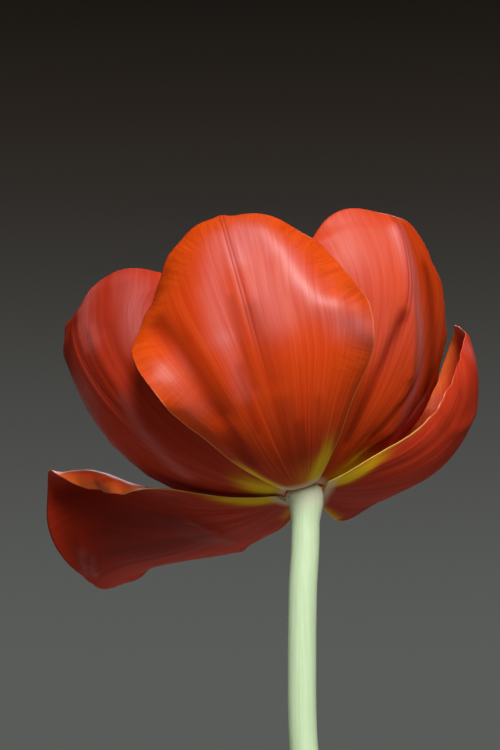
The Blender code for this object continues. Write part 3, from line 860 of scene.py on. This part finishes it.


# Petals
#
# Six soft, waxy blades in two rings of three. Outside they are red with orange margins, pink from a
# waxy bloom with a painted highlight, and darkened by painted shade in folds and towards the foot;
# inside a clear orange red, and yellow where they grow from the receptacle.

OUTER_SEAT = (4.8, -0.5)
INNER_SEAT = (4.2, 0.8)
PETAL_COLUMNS, PETAL_ROWS = 132, 128
PETALS = {
    "petal_inner_left": blade(
        azimuth=-74, length=72.4, seat=INNER_SEAT,
        lean=(80, 71, 56, 42, 26, 12, -10), twist=(0, -7, -14, -19, -20, -20, -20),
        left=half(
            width=(4, 10.5, 20.5, 21.6, 22.4, 21.8, 22.2), cup=(10, 28, 42, 50, 58, 65, 60),
            shoulder=0.324, roundness=2.2, fullness=1.9, lobe=0.03,
        ),
        right=half(
            width=(4, 10.5, 18.5, 23, 26, 27.5, 29.4), cup=(20, 29, 47, 57, 60, 60, 58),
            shoulder=-0.08, roundness=1.55, fullness=1.1, lobe=0.08,
        ),
    ),
    "petal_inner_right": blade(
        azimuth=54, length=70.4, seat=INNER_SEAT, fold=3,
        lean=(75, 62, 51, 38, 22, 5, -10), twist=(0, 4, 10, 12, 12, 12, 12),
        left=half(
            width=(4, 11, 18, 24, 28, 30, 29.3), cup=(20, 40, 60, 70, 70, 70, 70),
            shoulder=0.14, roundness=1.8, fullness=1.7, lobe=0.08,
        ),
        right=half(
            width=(4, 12, 23, 30.8, 30.5, 29, 25.5), cup=(0, 10, 28, 45, 47, 49, 47),
            shoulder=0.44, roundness=2.2, lobe=0.048,
        ),
    ),
    "petal_inner_back": blade(
        azimuth=171, length=74, seat=INNER_SEAT, fold=6,
        lean=(80, 70, 56, 42, 22, 4, -14),
        left=half(width=(4, 11, 22, 30, 32, 31, 29), cup=(20, 40, 50, 55, 55, 55, 60)),
        right=half(
            width=(4, 11, 22, 29, 31, 30, 28), cup=(20, 40, 50, 50, 50, 55, 60),
            shoulder=0.38,
        ),
    ),
    "petal_outer_front": blade(
        azimuth=-7, length=77, seat=OUTER_SEAT, fold=-5,
        lean=(84, 70, 48, 22, 4, -8, -16), sway=(0, 0, 0, -1, -2, -3, -3),
        left=half(
            width=(4.5, 12, 18.5, 26.2, 31.3, 31, 27), cup=(20, 35, 25, 20, 45, 60, 60),
            flare=(0, 0, 0, -40, -20, 10, 20), shoulder=0.49, roundness=1.5, fullness=2.1,
            lobe=0.05,
        ),
        right=half(
            width=(4.5, 11, 19, 27.5, 27.4, 29, 26), cup=(20, 35, 35, 40, 50, 60, 55),
            flare=(0, 0, 0, -50, -40, 0, 20), roundness=3.1, fullness=1.12, lobe=-0.01,
        ),
    ),
    "petal_outer_right": blade(
        azimuth=108, length=75, seat=OUTER_SEAT, fold=6,
        lean=(99, 95, 76, 49, 24, 4, -24),
        left=half(
            width=(4.5, 12, 17, 19, 18, 16, 14), cup=(20, 35, 45, 55, 65, 80, 80),
            shoulder=0.45,
        ),
        right=half(
            width=(4.5, 15, 21, 21, 19, 17, 16), cup=(-22, -16, 20, 60, 80, 80, 70),
            shoulder=0.45,
        ),
    ),
    "petal_outer_left": blade(
        azimuth=231, length=68.2, seat=OUTER_SEAT, fold=2,
        lean=(95, 92, 86, 81, 78, 83, 99), twist=(0, 0, -4, -8, -12, -14, -14),
        left=half(
            width=(4.5, 9, 14.5, 18.2, 21.7, 25.5, 20.5), cup=(20, -6, 13, 18, 44, 65, 35),
            shoulder=0.31, roundness=1.85, fullness=1.83, lobe=0.06,
        ),
        right=half(
            width=(4.5, 12, 22, 30.5, 34.4, 33, 29.5), cup=(20, 30, 45, 68, 92, 98, 94),
            flare=(0, 0, -30, -150, -225, -120, -20), flare_from=0.7,
            shoulder=0.145, roundness=2.2,
        ),
    ),
}


# What single petals have of their own, as strokes: ridges and creases, the waxy bloom that looks
# pink with a painted highlight on it, painted shade in folds and on sides turned from the lamp with
# a few dark lines of their own, and the yellow beside the foot.
PETAL_STROKES = {
    "petal_outer_front": {
        "raise": (
            (((-22.1, 0.72), (-17.9, 0.62), (-14.2, 0.47), (-12.3, 0.37)), -1.0, 3.0),
            (((-26.4, 0.65), (-21.2, 0.56), (-16.6, 0.45)), 0.55, 4.2),
            (((8.4, 0.92), (12.1, 0.82), (13.7, 0.71), (16.1, 0.63), (26.1, 0.54)), 0.9, 4.0),
            (((22.6, 0.67), (26.4, 0.60)), -0.4, 2.5),
        ),
        # Waxy bloom with a painted highlight along the crest and ridges that face the lamp.
        "wax_and_highlight": (
            (((7.0, 0.91), (12.0, 0.81), (13.7, 0.71), (15.9, 0.62), (24.9, 0.53)), 0.6, 3.6),
            (((3.6, 0.88), (4.6, 0.71), (5.6, 0.61)), 0.55, 5.0),
            (((-2.2, 0.93), (-6.6, 0.76), (-7.1, 0.61)), 0.6, 3.5),
            (((3.2, 0.95), (1.4, 0.83)), 0.5, 2.4),
            (((21.0, 0.53), (25.6, 0.49)), 0.5, 3.5),
            (((-23.5, 0.55), (-20.5, 0.48), (-17.2, 0.41)), 0.4, 2.6),
            (((-6.5, 0.59), (-6.1, 0.42)), 0.4, 2.2),
        ),
        # Painted shade: the valley and crease on the left, the band beside the midrib, and the left margin
        # turned from the lamp.
        "dark": (
            (((1.2, 0.66), (1.8, 0.56), (2.0, 0.44)), 0.4, 2.2),
            (((2.0, 0.36), (1.8, 0.26), (0.8, 0.16)), 0.5, 2.6),
            (((-22.4, 0.73), (-17.9, 0.62), (-14.2, 0.47), (-9.1, 0.18)), 0.75, 2.6),
            (((-23.7, 0.83), (-18.0, 0.90)), 0.4, 3.0),
            (((-5.2, 0.50), (-5.2, 0.30)), 0.4, 1.3),
            (((-2.9, 0.71), (-3.0, 0.56), (-3.0, 0.43)), 0.35, 1.0),
            (((4.5, 0.28), (2.4, 0.12)), 0.4, 1.3),
            (((10.2, 0.34), (6.8, 0.16)), 0.3, 1.2),
        ),
        "yellow": (
            (((11.5, 0.24), (8.2, 0.12), (4.9, 0.03)), 1.1, 2.3),
            (((3.5, 0.12), (1.0, 0.04)), 0.3, 4.0),
            (((-13.0, 0.18), (-9.5, 0.09), (-5.0, 0.01)), 1.0, 1.8),
        ),
    },
    "petal_inner_left": {
        "raise": (
            (((5.9, 0.91), (5.0, 0.69), (2.3, 0.51)), 0.30, 1.3),
            (((10.4, 0.88), (8.5, 0.67), (4.8, 0.47)), -0.2, 1.6),
        ),
        "wax_and_highlight": (
            (((6.9, 1.07), (4.2, 1.01), (5.1, 0.88)), 0.8, 3.0),
            (((16.9, 1.06), (17.5, 0.92), (15.4, 0.78)), 0.6, 3.5),
            (((20.8, 1.01), (17.8, 0.80)), 0.5, 3.0),
            (((-7.9, 0.77), (-16.4, 0.67), (-18.7, 0.54)), 0.8, 5.0),
            (((3.8, 0.64), (-0.4, 0.49), (-4.8, 0.33)), 0.4, 2.0),
        ),
        "dark": (
            (((0.2, 0.99), (-4.2, 0.93), (-12.0, 0.88)), 0.6, 2.5),
            (((2.4, 0.84), (1.4, 0.62)), 0.45, 0.9),
            (((-18.3, 0.50), (-17.1, 0.38), (-11.1, 0.26)), 0.5, 4.0),
            (((14.0, 1.02), (13.0, 0.60), (10.0, 0.40)), 0.35, 13.0),
        ),
        "yellow": ((((2.4, 0.26), (-0.5, 0.06)), 1.0, 3.6),),
    },
    "petal_inner_right": {
        "raise": (
            (((-0.6, 0.97), (0.2, 0.72), (6.0, 0.47), (9.0, 0.28)), 1.6, 5.0),
            (((-0.6, 0.96), (0.2, 0.72), (6.0, 0.47)), 0.5, 1.3),
            (((-0.9, 0.62), (-2.4, 0.42), (-1.1, 0.19)), -0.45, 1.4),
            (((9.6, 0.43), (6.9, 0.35), (5.2, 0.24)), -0.35, 1.3),
        ),
        "wax_and_highlight": (
            (((-12.5, 1.00), (-12.0, 0.72), (-5.6, 0.59)), 0.30, 9.0),
            (
                ((-0.5, 0.94), (0.5, 0.83), (2.5, 0.71), (6.8, 0.59), (10.6, 0.48), (12.7, 0.27)),
                0.75, 2.3,
            ),
            (((19.8, 0.40), (16.9, 0.32), (15.1, 0.23)), 0.7, 2.2),
        ),
        # Painted shade on the half turned from the lamp, with dark lines beside the keel.
        "dark": (
            (((9.0, 0.84), (11.2, 0.71), (14.9, 0.58), (18.7, 0.44)), 0.75, 2.8),
            (((-0.9, 0.66), (-2.1, 0.55), (-2.4, 0.42), (-2.2, 0.30), (-1.1, 0.19)), 0.75, 1.3),
            (((9.6, 0.43), (6.9, 0.35), (5.2, 0.24)), 0.6, 1.3),
        ),
        "yellow": (
            (((9.5, 0.24), (6.6, 0.14), (4.8, 0.02)), 1.2, 3.4),
            (((15.5, 0.28), (9.0, 0.14)), 0.8, 2.6),
        ),
    },
    "petal_outer_left": {
        "raise": (
            (((5.4, 0.94), (13.0, 0.88)), 0.5, 1.2),
            (((1.3, 0.95), (8.4, 0.87)), 0.4, 1.1),
            (((10.2, 0.33), (3.8, 0.31), (-5.9, 0.34)), 0.5, 1.8),
        ),
        "wax_and_highlight": (
            (((2.2, 0.99), (9.0, 0.91)), 0.35, 1.0),
            (((-0.5, 0.98), (6.4, 0.89)), 0.3, 0.9),
            (((7.6, 0.41), (-3.1, 0.36)), 0.15, 3.0),
        ),
        # Painted shade over the underside, which faces down and away from the lamp.
        "dark": (
            (((19.2, 0.84), (14.8, 0.66), (15.2, 0.42)), 0.8, 13.0),
            (((4.0, 0.92), (3.0, 0.40)), 0.7, 9.0),
        ),
        "yellow": (
            (((19.5, 0.28), (11.9, 0.13), (8.2, 0.07), (4.3, 0.0)), 1.1, 2.2),
            (((-5.6, 0.10), (-4.0, 0.04)), 0.45, 2.2),
        ),
    },
    "petal_outer_right": {
        "raise": ((((3.9, 0.96), (3.6, 0.78), (-9.7, 0.50)), 0.4, 2.0),),
        "wax_and_highlight": (
            (((-7.7, 0.87), (1.1, 0.77), (3.3, 0.62), (6.7, 0.48)), 0.6, 3.0),
            (((9.4, 0.45), (18.6, 0.31)), 0.3, 3.0),
        ),
        "dark": (
            (((-2.0, 0.86), (-11.0, 0.66), (-12.0, 0.48)), 0.45, 4.5),
            (((16.7, 0.20), (12.0, 0.40)), 0.5, 3.0),
        ),
        "yellow": (
            (((-16.2, 0.29), (-11.6, 0.15), (-6.4, 0.06), (-4.0, 0.0)), 1.2, 1.7),
            (((8.5, 0.03), (13.0, 0.09)), 0.7, 2.0),
        ),
    },
    "petal_inner_back": {
        "wax_and_highlight": ((((-12.0, 0.85), (-9.0, 0.60)), 0.5, 6.0), (((10.0, 0.85), (8.0, 0.60)), 0.5, 6.0)),
        "dark": ((((0.0, 0.60), (0.0, 0.20)), 0.5, 2.0),),
        "yellow": ((((7.0, 0.16), (4.0, 0.03)), 0.8, 2.0), (((-7.0, 0.16), (-4.0, 0.03)), 0.8, 2.0)),
    },
}


def petal_relief(across, beside, place, vein, inset):
    """A fine twin groove along the midrib with raised flanks, long pleats that fan from the
    root, and a slightly wavy margin."""
    groove = -0.10 * np.exp(-(((np.abs(beside) - 0.42) / 0.25) ** 2))
    flank = 0.07 * np.exp(-(((np.abs(beside) - 1.6) / 0.8) ** 2))
    rib = (groove + flank) * (0.3 + 0.7 * ease(0.4, 0.75, place)) * ease(0.05, 0.2, place)
    pleats = (
        0.08 * np.sin(vein * 17 + 0.6)
        + 0.05 * np.sin(vein * 29 + 2.0)
        + 0.025 * np.sin(vein * 47 + 4.0)
    )
    pleats = pleats * ease(0.05, 0.2, place) * (1 - 0.75 * ease(0.45, 0.8, place))
    wave = 0.30 * np.sin(place * 37 + 3 * across) + 0.15 * np.sin(place * 71 + 5 * across)
    wave = wave * (1 - ease(0, 6, inset)) * ease(0.3, 0.5, place)
    return (rib + pleats) * ease(0.3, 4, inset) + wave


def petal_marks(wire):
    """The readings that both faces of a petal are painted by."""
    course, hem, paint = (
        wire.node("ShaderNodeAttribute", {"attribute_name": name}, output="Vector")
        for name in ("course", "hem", "paint")
    )
    beside, place, vein = course.split()
    inset, around, _ = hem.split()
    wax_and_highlight, dark, yellow = paint.split()
    bands = wire.vector(vein * 8, place * 1.3, 0.0).grain(1.0, detail=2.0)
    strands = wire.vector(vein * 42, place * 2.2, 5.0).grain(1.0, detail=2.0)
    hairs = wire.vector(vein * 150, place * 6.0, 9.0).grain(1.0, detail=2.0)
    ticks = wire.vector(around * 2.2, inset * 0.12, vein).grain(1.0, detail=2.0)
    return beside, place, inset, wax_and_highlight, dark, yellow, bands, strands, hairs, ticks


def outside_finish(name, low, high, hem_width):
    """The outside of a petal: a red between low and high, pink where it is waxy and where a
    highlight is painted, with an orange hem whose fine ticks run out to the margin, painted shade
    in its folds and towards its foot, and yellow sides at the foot."""
    made, wire, shader = new_finish(name, {
        "Specular IOR Level": 0.06, "Coat Roughness": 0.42, "Coat IOR": 1.5,
    })
    beside, place, inset, wax_and_highlight, dark, yellow, bands, strands, hairs, ticks = petal_marks(wire)
    skin = strands.rise(0.3, 0.7).tint(low, high)
    # Pink from the waxy bloom and a painted highlight where the lamp's sheen falls; it also sets the coat's
    # gloss.
    streaked_wax_and_highlight = wax_and_highlight * (strands * 0.9 + 0.55)
    bloom_and_highlight_pink = hairs.rise(0.3, 0.7).tint((0.62, 0.110, 0.090), (0.72, 0.155, 0.140))
    skin = (streaked_wax_and_highlight * 0.8).tint(skin, bloom_and_highlight_pink)
    orange = ticks.rise(0.3, 0.7).tint((0.56, 0.045, 0.002), (0.68, 0.075, 0.005))
    hem = (inset + ticks * 2.0).rise(hem_width * 2.2, hem_width * 0.7) * place.rise(0.25, 0.55)
    skin = (hem * (1 - wax_and_highlight)).tint(skin, orange)
    rib = abs(abs(beside) - 0.42).rise(0.32, 0.04) * place.rise(0.40, 0.75)
    skin = (rib * 0.65).tint(skin, (0.28, 0.020, 0.020))
    # Painted shade from the dark strokes: folds, creases and sides turned from the lamp.
    skin = (dark * (bands * 0.8 + 0.5)).tint(skin, (0.20, 0.009, 0.001))
    # Painted shade: the petal darkens towards its foot, where less light reaches.
    shade = (place + bands * 0.25).rise(0.55, 0.15) * strands.rise(0.85, 0.25)
    skin = (shade * 0.7).tint(skin, (0.22, 0.013, 0.002))
    gold = yellow * (strands * 1.0 + 0.55) * (place + hairs * 0.03).rise(0.29, 0.06)
    skin = gold.rise(0.0, 0.8).tint(skin, gold.tint((0.62, 0.15, 0.003), (0.80, 0.50, 0.010)))
    root = (place + strands * 0.03).rise(0.055, 0.020)
    skin = (root * 0.9).tint(skin, (0.75, 0.55, 0.38))
    edge = place.rise(0.45, 0.25).tint((0.80, 0.24, 0.10), (0.82, 0.62, 0.10))
    skin = (inset.rise(0.4, 0.1) * place.rise(0.80, 0.50) * 0.5).tint(skin, edge)
    wire.fill(shader, {
        "Base Color": skin,
        "Roughness": 0.47 + hairs * 0.08 + root * 0.1,
        "Coat Weight": streaked_wax_and_highlight,
        "Normal": (strands * 0.4 + hairs * 0.3 + ticks * hem * 0.4).relief(0.00010),
    })
    return made


def inside_finish():
    made, wire, shader = new_finish("petal_inside", {
        "IOR": 1.4, "Specular Tint": (1.0, 0.75, 0.75, 1),
        "Sheen Weight": 0.06, "Sheen Roughness": 0.3, "Sheen Tint": (1.0, 0.75, 0.7, 1),
    })
    beside, place, inset, wax_and_highlight, dark, yellow, bands, strands, hairs, ticks = petal_marks(wire)
    skin = strands.rise(0.3, 0.7).tint((0.56, 0.026, 0.006), (0.70, 0.052, 0.009))
    skin = (bands.rise(0.4, 0.7) * 0.4).tint(skin, (0.66, 0.080, 0.028))
    hem = (inset + ticks * 2.0).rise(5.0, 1.5)
    skin = (hem * 0.7).tint(skin, ticks.tint((0.72, 0.10, 0.012), (0.84, 0.20, 0.030)))
    far = place + strands * 0.07
    skin = (far.rise(0.31, 0.25) * far.rise(0.18, 0.23) * 0.5).tint(skin, (0.20, 0.06, 0.015))
    gold = hairs.tint((0.66, 0.46, 0.03), (0.80, 0.62, 0.07))
    skin = (place + strands * 0.08 - inset * 0.002).rise(0.25, 0.19).tint(skin, gold)
    wire.fill(shader, {
        "Base Color": skin,
        "Roughness": 0.42 + hairs * 0.12,
        "Normal": (strands * 0.5 + hairs * 0.35 + bands * 0.4).relief(0.00014),
    })
    return made


def cut_finish():
    made, wire, shader = new_finish("petal_margin", {"IOR": 1.4})
    beside, place, inset, wax_and_highlight, dark, yellow, bands, strands, hairs, ticks = petal_marks(wire)
    skin = place.rise(0.80, 0.50).tint((0.62, 0.09, 0.03), (0.82, 0.28, 0.12))
    skin = place.rise(0.50, 0.25).tint(skin, (0.82, 0.62, 0.10))
    skin = (ticks * 0.3).tint(skin, (0.86, 0.40, 0.24))
    wire.fill(shader, {"Base Color": skin, "Roughness": 0.45 + hairs * 0.1})
    return made


inside_skin, cut_skin = inside_finish(), cut_finish()
ORANGE_RED = (0.59, 0.042, 0.003), (0.67, 0.064, 0.008)
CRIMSON = (0.50, 0.032, 0.009), (0.58, 0.048, 0.017)
crimson_skin = outside_finish("petal_outside", *CRIMSON, 0.6)
skins = {
    "petal_outer_front": outside_finish("front_petal_outside", *ORANGE_RED, 5.2),
    "petal_inner_right": outside_finish("right_petal_outside", *ORANGE_RED, 0.6),
}
for seed, (node, shape) in enumerate(PETALS.items()):
    matrix = flower_frame @ Matrix.Rotation(math.radians(shape["azimuth"]), 4, "Z")
    strokes = PETAL_STROKES[node]
    bm = blade_mesh(shape, PETAL_COLUMNS, PETAL_ROWS, matrix, seed, petal_relief, strokes)
    finishes = [skins.get(node, crimson_skin), inside_skin, cut_skin]
    petal = add_piece(node + "_blade", bm, finishes, node)
    thicken(petal, 0.55, 0.4, 3.0)
